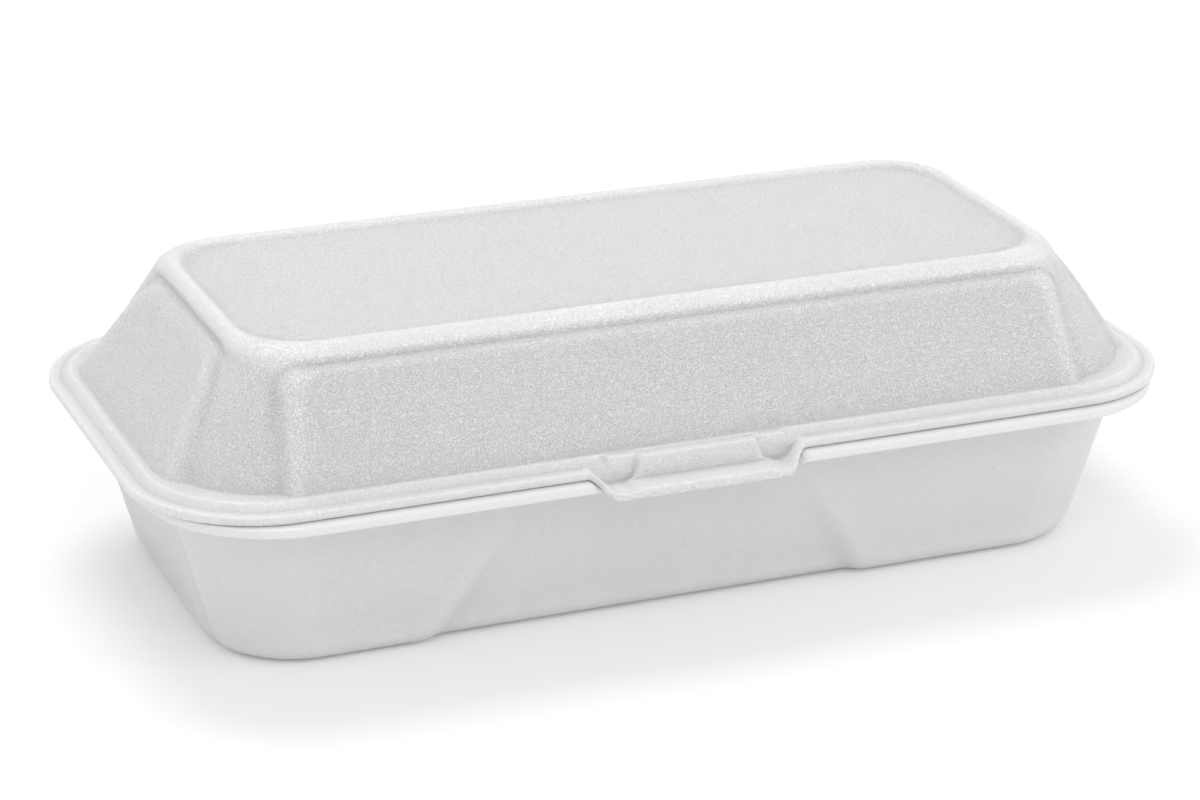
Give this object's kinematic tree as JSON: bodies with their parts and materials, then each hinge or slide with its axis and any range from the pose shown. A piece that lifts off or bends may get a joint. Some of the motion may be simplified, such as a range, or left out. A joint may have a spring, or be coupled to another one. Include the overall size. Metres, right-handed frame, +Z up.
{
  "type": "foam clamshell container",
  "caption": "Long hinged foam takeout container: deep tray, raised lid on a living hinge, front lock tab.",
  "frame": {"origin": "centre of the tray's floor, on the surface that it stands on", "axes": "+X along the length, -Y to the front with the lock tab, +Y to the living hinge, +Z up"},
  "size_m": [0.249, 0.1277, 0.0711],
  "materials": {
    "foam": "white fine-pebbled polystyrene foam"
  },
  "bodies": {
    "tray": {"tray": "foam"},
    "lid": {"lid": "foam"}
  },
  "joints": [
    {"name": "lid_hinge", "type": "hinge", "parent": "tray", "child": "lid", "pos_m": [0, 0.063, 0.04025], "axis": [-1, 0, 0], "range_deg": [0, 180]}
  ]
}
